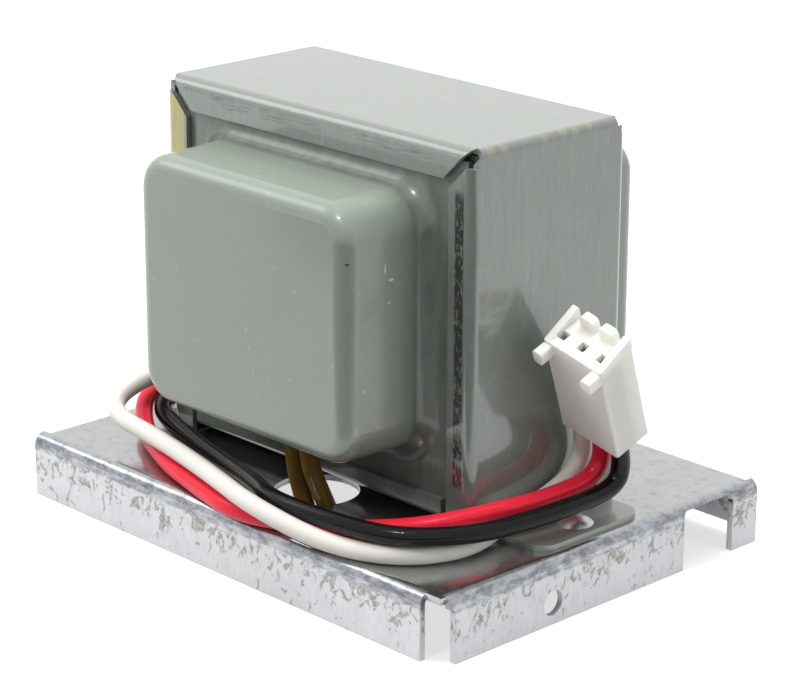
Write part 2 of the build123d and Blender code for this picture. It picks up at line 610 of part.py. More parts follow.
export_step(foot_rivets.part, "parts/foot_rivets.step")

# Connector housing, leaning on its leads, with its mating face up
HOUSING_PLANE = Plane(origin=HOUSING_FOOT, x_dir=HOUSING_WIDTH_DIR, z_dir=HOUSING_UP_DIR)
HOUSING_BACK = Plane(
    origin=HOUSING_PLANE.from_local_coords((0, HOUSING_Y, HOUSING_HEIGHT)),
    x_dir=HOUSING_PLANE.x_dir,
    z_dir=-HOUSING_PLANE.y_dir,
)
HOUSING_FRONT = HOUSING_BACK.offset(HOUSING_DEPTH)
WAYS = [(-WAY_PITCH, WAY_OFFSET), (0, WAY_OFFSET), (WAY_PITCH, WAY_OFFSET)]
with BuildPart() as connector_housing:
    with BuildSketch(HOUSING_PLANE):
        RectangleRounded(HOUSING_WIDTH, HOUSING_DEPTH, HOUSING_EDGE)
    extrude(amount=HOUSING_HEIGHT)
    # Two lobes along the back edge, between the ways
    with BuildSketch(HOUSING_BACK):
        with Locations(*[(side * WAY_PITCH / 2, 0) for side in (-1, 1)]):
            RectangleRounded(LOBE_WIDTH, 2 * LOBE_HIGH, LOBE_ROUND)
    extrude(amount=LOBE_THICK)
    # End walls that slope down from the back edge to the front one
    for wall_start in (-HOUSING_WIDTH / 2, HOUSING_WIDTH / 2 - END_LOBE_WIDTH):
        wall_plane = Plane(
            origin=HOUSING_PLANE.from_local_coords((wall_start, 0, HOUSING_HEIGHT)),
            x_dir=HOUSING_PLANE.y_dir,
            z_dir=HOUSING_PLANE.x_dir,
        )
        with BuildSketch(wall_plane) as end_wall:
            Polygon(
                (HOUSING_EDGE - HOUSING_Y, 0),
                (HOUSING_Y, 0),
                (HOUSING_Y, END_LOBE_HIGH),
                (HOUSING_Y - HOUSING_EDGE, END_LOBE_HIGH),
                align=None,
            )
            fillet(end_wall.vertices().group_by(Axis.Y)[-1], HOUSING_EDGE / 3)
        extrude(amount=END_LOBE_WIDTH)
    # Two locking pegs at the top of the front face
    with BuildSketch(HOUSING_FRONT):
        peg_height = -PEG_DROP - PEG_HIGH / 2
        with Locations(*[(side * (HOUSING_WIDTH - PEG_WIDTH) / 2, peg_height) for side in (-1, 1)]):
            RectangleRounded(PEG_WIDTH, PEG_HIGH, PEG_ROUND)
    extrude(amount=PEG_REACH)
    # Square sockets in the mating face, each over a cavity that is open below
    with BuildSketch(HOUSING_PLANE):
        with Locations(*WAYS):
            Rectangle(CAVITY, CAVITY)
    extrude(amount=HOUSING_HEIGHT - MATING_WALL, mode=Mode.SUBTRACT)
    with BuildSketch(HOUSING_PLANE):
        with Locations(*WAYS):
            Rectangle(SOCKET, SOCKET)
    extrude(amount=HOUSING_HEIGHT, mode=Mode.SUBTRACT)
connector_housing.part.label = "connector_housing"
export_step(connector_housing.part, "parts/connector_housing.step")

# Crimp terminals in the cavities: a barrel round each lead's end and a square contact box above it
with BuildPart() as crimp_terminals:
    with BuildSketch(HOUSING_PLANE.offset(LEAD_INSET + LEAD_GAP)):
        with Locations(*WAYS):
            Circle(BARREL / 2)
    extrude(amount=BARREL_HIGH)
    with BuildSketch(HOUSING_PLANE.offset(LEAD_INSET + LEAD_GAP + BARREL_HIGH)):
        with Locations(*WAYS):
            RectangleRounded(CAVITY - LOOSE_GAP, CAVITY - LOOSE_GAP, HOUSING_EDGE)
    extrude(amount=CONTACT_HIGH)
    with BuildSketch(HOUSING_PLANE.offset(LEAD_INSET + LEAD_GAP + BARREL_HIGH + CONTACT_SHEET)):
        with Locations(*WAYS):
            Rectangle(SOCKET, SOCKET)
    extrude(amount=CONTACT_HIGH, mode=Mode.SUBTRACT)
crimp_terminals.part.label = "crimp_terminals"
export_step(crimp_terminals.part, "parts/crimp_terminals.step")


def corner_radii(route):
    """Radius of each corner's arc: 0.45 of the shorter run, over the tangent of half the turn."""
    points = [Vector(*point) for point in route]
    radii = []
    for before, corner, after in zip(points, points[1:], points[2:]):
        arrive = corner - before
        leave = after - corner
        half_turn = radians(arrive.get_angle(leave) / 2)
        radii.append(0.45 * min(arrive.length, leave.length) / tan(half_turn))
    return radii


# Leads: insulated stranded wire
LEAD_ROUTES = {
    "lead_white": WHITE_ROUTE,
    "lead_red": RED_ROUTE,
    "lead_black": BLACK_ROUTE,
    "lead_brown_left": BROWN_LEFT_ROUTE,
    "lead_brown_right": BROWN_RIGHT_ROUTE,
}
for lead_name, route in LEAD_ROUTES.items():
    lead_radii = corner_radii(route)
    with BuildPart() as lead:
        with BuildLine() as lead_path:
            FilletPolyline(*route, radius=lead_radii)
        with BuildSketch(Plane(origin=lead_path.line @ 0, z_dir=lead_path.line % 0)):
            Circle(LEAD / 2)
        sweep(path=lead_path.line)
    lead.part.label = lead_name
    export_step(lead.part, f"parts/{lead_name}.step")
    lead_length = sum(edge.length for edge in lead_path.edges())
    print(lead_name, "length", round(lead_length, 1), "radii", [round(radius, 1) for radius in lead_radii])

# Sleeves that join the secondary leads to the coil, in line with the leads' first runs
with BuildPart() as secondary_lead_splices:
    for route in (WHITE_ROUTE, RED_ROUTE, BLACK_ROUTE):
        with BuildSketch(Plane(origin=route[0], z_dir=Vector(*route[0]) - Vector(*route[1]))):
            Circle(LEAD / 2)
        extrude(amount=SPLICE_LENGTH)
    chamfer(secondary_lead_splices.edges().group_by(Axis.Z)[-1], LEAD_GAP)
secondary_lead_splices.part.label = "secondary_lead_splices"
export_step(secondary_lead_splices.part, "parts/secondary_lead_splices.step")

# Stripped conductor at the end of each supply lead
with BuildPart() as brown_conductor_ends:
    for route in (BROWN_LEFT_ROUTE, BROWN_RIGHT_ROUTE):
        with BuildSketch(Plane(origin=route[-1], z_dir=Vector(*route[-1]) - Vector(*route[-2]))):
            Circle(CONDUCTOR / 2)
        extrude(amount=STRIPPED)
brown_conductor_ends.part.label = "brown_conductor_ends"
export_step(brown_conductor_ends.part, "parts/brown_conductor_ends.step")
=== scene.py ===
"""Control transformer: finishes, leads, floor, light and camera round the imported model, in metres."""

from math import cos, pi, radians, sin

import bpy
from mathutils import Matrix, Vector


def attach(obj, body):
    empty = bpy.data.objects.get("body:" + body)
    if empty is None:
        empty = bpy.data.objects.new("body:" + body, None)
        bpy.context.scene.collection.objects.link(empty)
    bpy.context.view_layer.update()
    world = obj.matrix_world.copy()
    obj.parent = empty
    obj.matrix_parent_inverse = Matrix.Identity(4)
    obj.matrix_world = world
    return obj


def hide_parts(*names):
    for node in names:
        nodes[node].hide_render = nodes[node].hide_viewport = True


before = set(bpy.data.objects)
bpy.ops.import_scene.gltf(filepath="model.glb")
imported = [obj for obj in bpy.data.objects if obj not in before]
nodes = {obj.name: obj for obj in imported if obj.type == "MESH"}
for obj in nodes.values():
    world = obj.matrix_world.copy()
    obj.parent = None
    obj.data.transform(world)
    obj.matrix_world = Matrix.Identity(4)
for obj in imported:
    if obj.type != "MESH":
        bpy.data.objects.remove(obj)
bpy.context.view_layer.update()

MM = 0.001

# Camera at the photograph's viewing angle
CAMERA_PLACE = Vector((303.2, -289.5, 168.8)) * MM
CAMERA_AZIMUTH = radians(46.085)
CAMERA_ELEVATION = radians(18.528)
CAMERA_ROLL = radians(0.187)
SENSOR_WIDTH = 36.0
LENS = 125.82


def make_camera():
    """Camera whose axes come from its azimuth, elevation and roll."""
    back = Vector((
        sin(CAMERA_AZIMUTH) * cos(CAMERA_ELEVATION),
        -cos(CAMERA_AZIMUTH) * cos(CAMERA_ELEVATION),
        sin(CAMERA_ELEVATION),
    ))
    right = Vector((0, 0, 1)).cross(back).normalized()
    up = back.cross(right)
    rolled_right = right * cos(CAMERA_ROLL) + up * sin(CAMERA_ROLL)
    rolled_up = up * cos(CAMERA_ROLL) - right * sin(CAMERA_ROLL)
    data = bpy.data.cameras.new("camera")
    data.sensor_width = SENSOR_WIDTH
    data.lens = LENS
    data.clip_start = 0.01
    data.clip_end = 20
    camera = bpy.data.objects.new("camera", data)
    turn = Matrix((rolled_right, rolled_up, back)).transposed()
    camera.matrix_world = Matrix.Translation(CAMERA_PLACE) @ turn.to_4x4()
    bpy.context.scene.collection.objects.link(camera)
    bpy.context.scene.camera = camera


make_camera()

# Leads on the routes of the CAD model, in millimetres, the white one up to 2 mm nearer the left wall
LEAD = 2.9
# Share of the tube's thickness that each point carries, kept small so that the curve's box stays tight
POINT_RADIUS = 0.001
WHITE_ROUTE = [
    (-8.9, 27.2, 38.5),
    (-8.9, 27.9, 29.0),
    (-8.9, 24.7, 19.5),
    (-12.5, 24.4, 14.9),
    (-22.5, 24.6, 14.9),
    (-35.0, 22.9, 16.4),
    (-38.4, 11.5, 18.0),
    (-37.9, -6.0, 19.3),
    (-37.3, -21.5, 18.9),
    (-35.3, -29.2, 16.1),
    (-20.5, -29.9, 15.2),
    (-4.0, -33.8, 15.2),
    (10.0, -37.6, 15.0),
    (23.0, -34.8, 11.95),
    (34.2, -30.4, 11.95),
    (39.0, -20.5, 12.0),
    (36.3, -10.5, 12.9),
    (36.2, -3.0, 13.9),
    (36.4, 4.4, 16.6),
    (36.89, 5.9, 22.07),
    (37.86, 3.54, 26.77),
]
RED_ROUTE = [
    (-5.9, 27.2, 38.5),
    (-5.9, 27.9, 29.0),
    (-5.9, 25.0, 19.5),
    (-9.5, 29.0, 13.2),
    (-21.0, 30.0, 12.0),
    (-36.5, 28.4, 12.2),
    (-43.2, 14.0, 13.6),
    (-42.6, -4.0, 15.1),
    (-41.0, -16.5, 15.2),
    (-34.0, -23.0, 12.4),
    (-19.0, -30.4, 11.95),
    (-7.0, -33.4, 11.95),
    (4.0, -36.2, 11.95),
    (14.5, -32.4, 11.95),
    (23.0, -27.0, 11.95),
    (32.5, -22.2, 14.1),
    (38.6, -13.0, 16.0),
    (39.2, -4.5, 15.7),
    (40.0, 4.4, 16.6),
    (40.79, 6.0, 21.17),
    (41.76, 3.44, 25.97),
]
BLACK_ROUTE = [
    (-2.9, 27.2, 38.5),
    (-2.9, 27.9, 29.0),
    (-2.9, 25.0, 19.5),
    (-7.0, 21.3, 12.6),
    (-20.0, 20.4, 11.95),
    (-34.2, 21.8, 12.4),
    (-38.4, 12.5, 13.6),
    (-38.2, -6.0, 15.0),
    (-37.2, -18.4, 14.2),
    (-24.5, -20.8, 12.0),
    (-10.0, -24.2, 11.95),
    (0.0, -28.6, 13.6),
    (10.0, -33.7, 15.0),
    (22.0, -33.4, 15.1),
    (33.5, -31.0, 15.0),
    (40.4, -22.5, 15.0),
    (42.2, -14.0, 15.1),
    (43.8, -5.5, 15.6),
    (44.3, 4.6, 16.2),
    (44.67, 5.75, 20.42),
    (45.66, 3.34, 25.17),
]
BROWN_LEFT_ROUTE = [
    (4.4, -24.4, 25.3),
    (4.4, -24.4, 18.5),
    (4.7, -22.8, 11.0),
    (6.8, -21.4, 3.2),
    (15.0, -15.0, 1.5),
    (25.0, -9.0, 1.5),
    (34.0, -5.0, 1.5),
    (39.0, 4.0, 1.5),
    (36.0, 16.0, 1.5),
    (26.0, 22.0, 1.5),
    (14.0, 20.0, 1.5),
]
BROWN_RIGHT_ROUTE = [
    (7.5, -24.4, 25.3),
    (7.5, -24.4, 18.5),
    (7.5, -21.0, 11.0),
    (8.0, -17.8, 4.0),
    (13.0, -9.0, 1.5),
    (22.0, -3.6, 1.5),
    (31.0, 0.0, 1.5),
    (33.6, 9.0, 1.5),
    (26.0, 16.0, 1.5),
    (15.0, 15.5, 1.5),
]


def lay_lead(name, route, node):
    """A lead as one smooth round curve whose control points are its route."""
    curve = bpy.data.curves.new(name, "CURVE")
    curve.dimensions = "3D"
    spline = curve.splines.new("NURBS")
    spline.points.add(len(route) - 1)
    for point, place in zip(spline.points, route):
        point.co = (*[value * MM for value in place], 1)
        point.radius = POINT_RADIUS
    spline.order_u = 3
    spline.use_endpoint_u = True
    curve.resolution_u = 12
    curve.bevel_depth = LEAD * MM / 2 / POINT_RADIUS
    curve.bevel_resolution = 8
    curve.use_fill_caps = True
    lead = bpy.data.objects.new(name, curve)
    bpy.context.scene.collection.objects.link(lead)
    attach(lead, "root")
    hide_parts(node)
    return lead


PLUG = ("connector_housing", "crimp_terminals")
BARE_ENDS = ("brown_conductor_ends",)
# name: route, CAD node, length in millimetres, far end, pieces on it
LEADS = {
    "white_lead": (WHITE_ROUTE, "lead_white", 218, "connector", PLUG),
    "red_lead": (RED_ROUTE, "lead_red", 219, "connector", PLUG),
    "black_lead": (BLACK_ROUTE, "lead_black", 214, "connector", PLUG),
    "brown_lead_left": (BROWN_LEFT_ROUTE, "lead_brown_left", 98.5, "bare", BARE_ENDS),
    "brown_lead_right": (BROWN_RIGHT_ROUTE, "lead_brown_right", 81, "bare", BARE_ENDS),
}
leads = {}
for lead_name, (route, node, length, far_end, carried) in LEADS.items():
    leads[lead_name] = lay_lead(lead_name, route, node)


# Small helpers for shader trees


def feed(tree, socket, value):
    """Links a socket to another one, or sets it to a plain value."""
    if isinstance(value, bpy.types.NodeSocket):
        tree.links.new(value, socket)
    else:
        socket.default_value = value


def work(tree, operation, *values, clamp=False):
    """One step of arithmetic on shader values."""
    node = tree.nodes.new("ShaderNodeMath")
    node.operation = operation
    node.use_clamp = clamp
    for socket, value in zip(node.inputs, values):
        feed(tree, socket, value)
    return node.outputs[0]


def rise(tree, value, low, high):
    """Smooth step from 0 at low to 1 at high."""
    node = tree.nodes.new("ShaderNodeMapRange")
    node.interpolation_type = "SMOOTHSTEP"
    feed(tree, node.inputs["Value"], value)
    feed(tree, node.inputs["From Min"], low)
    feed(tree, node.inputs["From Max"], high)
    return node.outputs[0]


def mix(tree, amount, first, second):
    """Blend of two colours, each a socket or three plain numbers."""
    node = tree.nodes.new("ShaderNodeMix")
    node.data_type = "RGBA"
    for name, value in (("Factor_Float", amount), ("A_Color", first), ("B_Color", second)):
        socket = next(socket for socket in node.inputs if socket.identifier == name)
        if isinstance(value, tuple):
            value = (*value, 1)
        feed(tree, socket, value)
    return next(socket for socket in node.outputs if socket.identifier == "Result_Color")


def cloud(tree, place, size, detail=2.0, roughness=0.5, distortion=0.0):
    """Noise whose lumps are about size millimetres across, or as large as the three sizes given."""
    sizes = size if isinstance(size, tuple) else (size, size, size)
    spread = tree.nodes.new("ShaderNodeVectorMath")
    spread.operation = "DIVIDE"
    feed(tree, spread.inputs[0], place)
    spread.inputs[1].default_value = sizes
    node = tree.nodes.new("ShaderNodeTexNoise")
    node.inputs["Scale"].default_value = 1
    node.inputs["Detail"].default_value = detail
    node.inputs["Roughness"].default_value = roughness
    node.inputs["Distortion"].default_value = distortion
    feed(tree, node.inputs["Vector"], spread.outputs[0])
    return node.outputs[0]


def new_group(name, inputs, outputs):
    """Empty shader group. Each socket is a name with its kind and, for an input, its usual value."""
    group = bpy.data.node_groups.new(name, "ShaderNodeTree")
    for socket_name, kind, usual in inputs:
        socket = group.interface.new_socket(socket_name, in_out="INPUT", socket_type=kind)
        socket.default_value = usual
    for socket_name, kind in outputs:
        group.interface.new_socket(socket_name, in_out="OUTPUT", socket_type=kind)
    entry = group.nodes.new("NodeGroupInput")
    leave = group.nodes.new("NodeGroupOutput")
    return group, entry.outputs, leave.inputs


def use(tree, group, **values):
    """Places a shared group in a tree. Its inputs are given by name, with _ for a space."""
    node = tree.nodes.new("ShaderNodeGroup")
    node.node_tree = group
    for name, value in values.items():
        feed(tree, node.inputs[name.replace("_", " ")], value)
    return node.outputs


VALUE = "NodeSocketFloat"
VECTOR = "NodeSocketVector"

# Shader groups for place, bands, specks, scratches and rubbed edges


def make_place_group():
    """Place on the part in millimetres."""
    group, _, leave = new_group("place_in_millimetres", [], [
        ("Place", VECTOR),
        ("X", VALUE),
        ("Y", VALUE),
        ("Z", VALUE),
    ])
    where = group.nodes.new("ShaderNodeTexCoord")
    larger = group.nodes.new("ShaderNodeVectorMath")
    larger.operation = "SCALE"
    larger.inputs["Scale"].default_value = 1 / MM
    group.links.new(where.outputs["Object"], larger.inputs[0])
    split = group.nodes.new("ShaderNodeSeparateXYZ")
    group.links.new(larger.outputs[0], split.inputs[0])
    group.links.new(larger.outputs[0], leave["Place"])
    for axis in "XYZ":
        group.links.new(split.outputs[axis], leave[axis])
    return group


def make_band_group():
    """Mask that is 1 between two values and fades out within Edge on each side."""
    group, entry, leave = new_group("band", [
        ("Value", VALUE, 0),
        ("Low", VALUE, 0),
        ("High", VALUE, 1),
        ("Edge", VALUE, 0.1),
    ], [("Mask", VALUE)])
    up = rise(group, entry["Value"], work(group, "SUBTRACT", entry["Low"], entry["Edge"]), entry["Low"])
    down = rise(group, entry["Value"], entry["High"], work(group, "ADD", entry["High"], entry["Edge"]))
    feed(group, leave["Mask"], work(group, "SUBTRACT", up, down, clamp=True))
    return group


def make_speck_group():
    """Scattered small round marks, one in some of the cells of a grid of the given size."""
    group, entry, leave = new_group("specks", [
        ("Place", VECTOR, (0, 0, 0)),
        ("Cell", VALUE, 4),
        ("Size", VALUE, 0.2),
        ("Share", VALUE, 0.2),
    ], [("Mask", VALUE)])
    cells = group.nodes.new("ShaderNodeTexVoronoi")
    feed(group, cells.inputs["Vector"], entry["Place"])
    feed(group, cells.inputs["Scale"], work(group, "DIVIDE", 1, entry["Cell"]))
    split = group.nodes.new("ShaderNodeSeparateColor")
    group.links.new(cells.outputs["Color"], split.inputs[0])
    chosen = work(group, "LESS_THAN", split.outputs[0], entry["Share"])
    own_size = work(group, "MULTIPLY", entry["Size"], split.outputs[1])
    spread = work(group, "DIVIDE", own_size, entry["Cell"])
    ragged = work(group, "MULTIPLY_ADD", cloud(group, entry["Place"], 0.35), 0.5, 0.75)
    reach = work(group, "MULTIPLY", spread, ragged)
    core = work(group, "MULTIPLY", reach, 0.7)
    dot = work(group, "SUBTRACT", 1, rise(group, cells.outputs["Distance"], core, reach))
    feed(group, leave["Mask"], work(group, "MULTIPLY", dot, chosen))
    return group


def make_scratch_group():
    """Fine scratches: thin crests of a drawn-out noise, broken up by a wide one."""
    group, entry, leave = new_group("scratches", [
        ("Place", VECTOR, (0, 0, 0)),
        ("Width", VALUE, 0.004),
        ("Share", VALUE, 0.6),
    ], [("Mask", VALUE)])
    lines = cloud(group, entry["Place"], (9, 6, 14), detail=1.0, distortion=0.6)
    crest = work(group, "ABSOLUTE", work(group, "SUBTRACT", lines, 0.5))
    thin = work(group, "SUBTRACT", 1, rise(group, crest, 0, entry["Width"]))
    breaks = cloud(group, entry["Place"], 2.4, detail=3.0)
    broken = rise(group, breaks, entry["Share"], work(group, "ADD", entry["Share"], 0.05))
    feed(group, leave["Mask"], work(group, "MULTIPLY", thin, broken))
    return group


# Radius in millimetres within which an edge counts as rubbed
RUB_RADIUS = 0.16


def make_rub_group():
    """Rubbed edges: where the surface turns within a small distance, broken up by noise."""
    group, entry, leave = new_group("rubbed_edges", [
        ("Place", VECTOR, (0, 0, 0)),
        ("Share", VALUE, 0.5),
    ], [("Mask", VALUE), ("Normal", VECTOR)])
    rounded = group.nodes.new("ShaderNodeBevel")
    rounded.samples = 6
    rounded.inputs["Radius"].default_value = RUB_RADIUS * MM
    true_normal = group.nodes.new("ShaderNodeNewGeometry")
    turn = group.nodes.new("ShaderNodeVectorMath")
    turn.operation = "DOT_PRODUCT"
    group.links.new(rounded.outputs[0], turn.inputs[0])
    group.links.new(true_normal.outputs["Normal"], turn.inputs[1])
    edge = work(group, "SUBTRACT", 1, rise(group, turn.outputs["Value"], 0.8, 0.985))
    breaks = cloud(group, entry["Place"], 1.3, detail=3.0)
    broken = rise(group, breaks, work(group, "SUBTRACT", 1, entry["Share"]), 0.85)
    feed(group, leave["Mask"], work(group, "MULTIPLY", edge, broken))
    group.links.new(rounded.outputs[0], leave["Normal"])
    return group


PLACE = make_place_group()
BAND = make_band_group()
SPECKS = make_speck_group()
SCRATCHES = make_scratch_group()
RUBBED = make_rub_group()


class Finish:
    """A material with its tree, its one shader and the place on the part."""

    def __init__(self, name, **constants):
        self.material = bpy.data.materials.new(name)
        self.material.use_nodes = True
        self.tree = self.material.node_tree
        self.shader = self.tree.nodes["Principled BSDF"]
        for socket_name, value in constants.items():
            self.shader.inputs[socket_name.replace("_", " ")].default_value = value
        where = use(self.tree, PLACE)
        self.place, self.x, self.y, self.z = (where[name] for name in ("Place", "X", "Y", "Z"))

    def band(self, value, low, high, edge):
        """Mask between two values."""
        return use(self.tree, BAND, Value=value, Low=low, High=high, Edge=edge)["Mask"]

    def bump(self, height, depth, normal=None):
        """Relief of the given depth in millimetres."""
        node = self.tree.nodes.new("ShaderNodeBump")
        node.inputs["Distance"].default_value = depth * MM
        feed(self.tree, node.inputs["Height"], height)
        if normal:
            feed(self.tree, node.inputs["Normal"], normal)
        feed(self.tree, self.shader.inputs["Normal"], node.outputs[0])

    def set(self, socket_name, value):
        """Feeds one input of the shader."""
        feed(self.tree, self.shader.inputs[socket_name], value)


def product(tree, *masks):
    """Masks and plain shares multiplied together."""
    result = masks[0]
    for mask in masks[1:]:
        result = work(tree, "MULTIPLY", result, mask)
    return result


def tint(tree, colour, other, *masks):
    """A colour with another one laid over it, by the product of the masks and shares given."""
    return mix(tree, product(tree, *masks), colour, other)


def spot(finish, middle, half, axes):
    """Mask of a ragged spot of the given half sizes round a place, along two axes."""
    tree = finish.tree
    ragged = work(tree, "MULTIPLY_ADD", cloud(tree, finish.place, 0.45, detail=3.0), 3.0, -1.5)
    parts = []
    for value, centre, reach in zip(axes, middle, half):
        step = work(tree, "DIVIDE", work(tree, "SUBTRACT", value, centre), reach)
        parts.append(work(tree, "MULTIPLY", step, step))
    distance = work(tree, "ADD", work(tree, "ADD", *parts), ragged)
    return work(tree, "SUBTRACT", 1, rise(tree, distance, 0.6, 1.1))


# Enamel of the covers: its colours
ENAMEL_DARK = (0.200, 0.232, 0.196)
ENAMEL_LIGHT = (0.228, 0.260, 0.223)
ENAMEL_GRAIN = (0.24, 0.27, 0.24)
PALE_SPECK = (0.62, 0.65, 0.61)
DARK_SPECK = (0.09, 0.09, 0.07)
PALE_SCRATCH = (0.60, 0.63, 0.60)
PALE_NICK = (0.50, 0.54, 0.50)
# Painted shade for the covers' flange and the fold beside it
FLANGE_SHADE = (0.075, 0.085, 0.075)
# Pale nicks on the covers' faces: x, z, half width and half height in millimetres
FACE_NICKS = [
    (1.5, 39.0, 0.12, 0.45),
    (2.2, 36.2, 0.10, 0.35),
    (3.1, 33.0, 0.10, 0.50),
    (11.5, 33.6, 0.15, 0.30),
    (-14.5, 45.0, 0.18, 0.22),
    (12.6, 47.5, 0.10, 0.40),
    (20.8, 38.0, 0.20, 0.30),
    (8.4, 50.2, 0.14, 0.22),
]
# Marks on the front cover's right side: y, z, half width and half height in millimetres, and tone
SIDE_MARKS = [
    (-30.2, 53.6, 0.24, 0.22, 0.03),
    (-23.6, 51.8, 0.16, 0.75, 0.60),
    (-22.4, 50.0, 0.55, 0.20, 0.60),
    (-22.8, 46.6, 0.30, 0.22, 0.50),
    (-27.6, 34.0, 0.14, 0.35, 0.50),
]
# Where a cover's side ends at its face, and where it folds out to its flange, from the middle
COVER_SIDE_END = 30.9
COVER_FLANGE = 17.2


def cover_paint():
    """Grey-green enamel on the drawn covers: near even, with specks, pale nicks and fine scratches."""
    finish = Finish(
        "cover_enamel",
        Specular_IOR_Level=0.4,
        Coat_Weight=0.6,
        Coat_Roughness=0.12,
        Metallic=0.20,
    )
    tree = finish.tree
    drift = cloud(tree, finish.place, 16, detail=2.0)
    colour = mix(tree, drift, ENAMEL_DARK, ENAMEL_LIGHT)
    grain = cloud(tree, finish.place, (0.5, 0.5, 0.9), detail=3.0)
    colour = tint(tree, colour, ENAMEL_GRAIN, grain, 0.16)
    pale_specks = use(tree, SPECKS, Place=finish.place, Cell=4.2, Size=0.55, Share=0.20)["Mask"]
    colour = tint(tree, colour, PALE_SPECK, pale_specks, 0.45)
    dark_specks = use(tree, SPECKS, Place=finish.place, Cell=6.7, Size=0.60, Share=0.22)["Mask"]
    colour = tint(tree, colour, DARK_SPECK, dark_specks, 0.6)
    scratches = use(tree, SCRATCHES, Place=finish.place, Width=0.010, Share=0.58)["Mask"]
    colour = tint(tree, colour, PALE_SCRATCH, scratches, 0.14)
    depth = work(tree, "ABSOLUTE", finish.y)
    on_side = work(tree, "LESS_THAN", depth, COVER_SIDE_END)
    on_face = work(tree, "SUBTRACT", 1, on_side)
    for x, z, wide, high in FACE_NICKS:
        nick = spot(finish, (x, z), (wide, high), (finish.x, finish.z))
        colour = tint(tree, colour, PALE_NICK, nick, on_face, 0.35)
    on_right = product(tree, on_side, work(tree, "GREATER_THAN", finish.x, 0))
    for y, z, wide, high, tone in SIDE_MARKS:
        mark = spot(finish, (y, z), (wide, high), (finish.y, finish.z))
        colour = tint(tree, colour, (tone, tone, tone), mark, on_right, 0.8)
    # Painted shade on the flange and in the fold beside it, with streaks that run down
    flange = rise(tree, depth, COVER_FLANGE + 1.6, COVER_FLANGE - 0.2)
    shade_streaks = rise(tree, cloud(tree, finish.place, (1.8, 1.8, 9.0), detail=3.0), 0.30, 0.70)
    colour = tint(tree, colour, FLANGE_SHADE, flange, work(tree, "MULTIPLY_ADD", shade_streaks, 0.25, 0.45))
    finish.set("Base Color", colour)
    finish.set("Roughness", work(tree, "MULTIPLY_ADD", drift, 0.10, 0.32))
    finish.bump(work(tree, "SUBTRACT", grain, scratches), 0.008)
    return finish.material


# Plated sheet of the frame: its colours
STEEL_DARK = (0.166, 0.192, 0.166)
STEEL_LIGHT = (0.198, 0.222, 0.198)
STEEL_BRUSHED = (0.125, 0.140, 0.137)
STEEL_MOTTLED = (0.25, 0.278, 0.262)
# Paler colours for the top and the feet: painted light, with a cloudy bloom
LIT_BLOOM_DARK = (0.168, 0.190, 0.164)
LIT_BLOOM_LIGHT = (0.215, 0.236, 0.208)
LIP_BROWN = (0.055, 0.046, 0.040)
VARNISH_DARK = (0.27, 0.26, 0.07)
VARNISH_LIGHT = (0.50, 0.45, 0.10)
STAIN_YELLOW = (0.50, 0.50, 0.16)
RUST_BROWN = (0.22, 0.17, 0.09)
SCUFF_BLACK = (0.018, 0.018, 0.016)
BARE_EDGE = (0.66, 0.67, 0.66)
STEEL_METALLIC = 0.32
# Heights and faces of the frame in millimetres
FRAME_TOP = 69.8
FOOT_FOLD = 12.2
LIP_FACE = -16.25
# Low and high ends of the marks on its lips, in millimetres
BLACK_BAND_X = (30.8, 32.3)
BLACK_BAND_Z = (19.0, 62.5)
LIP_SCUFF_X = [(-22.5, -14.0), (-10.8, 1.5), (10.5, 28.0)]
LIP_SCUFF_Z = (66.6, 68.0)
VARNISH_X = (-33.4, -30.2)
VARNISH_Z = (30.0, 66.0)
# Spots on its top: x, y, half length and half width in millimetres
TOP_SPOTS = [(6.9, -2.7, 1.5, 0.7), (5.3, 6.1, 0.8, 0.6)]
# Stains along the bend of its top: x, y and half length in millimetres, all of one half width
BEND_STAINS = [
    (34.0, -9.9, 0.8),
    (34.0, -1.2, 0.7),
    (33.8, 2.6, 0.9),
    (34.1, 5.0, 0.7),
    (33.6, 8.3, 0.6),
    (34.0, -12.6, 0.9),
]
STAIN_HALF_WIDTH = 0.7


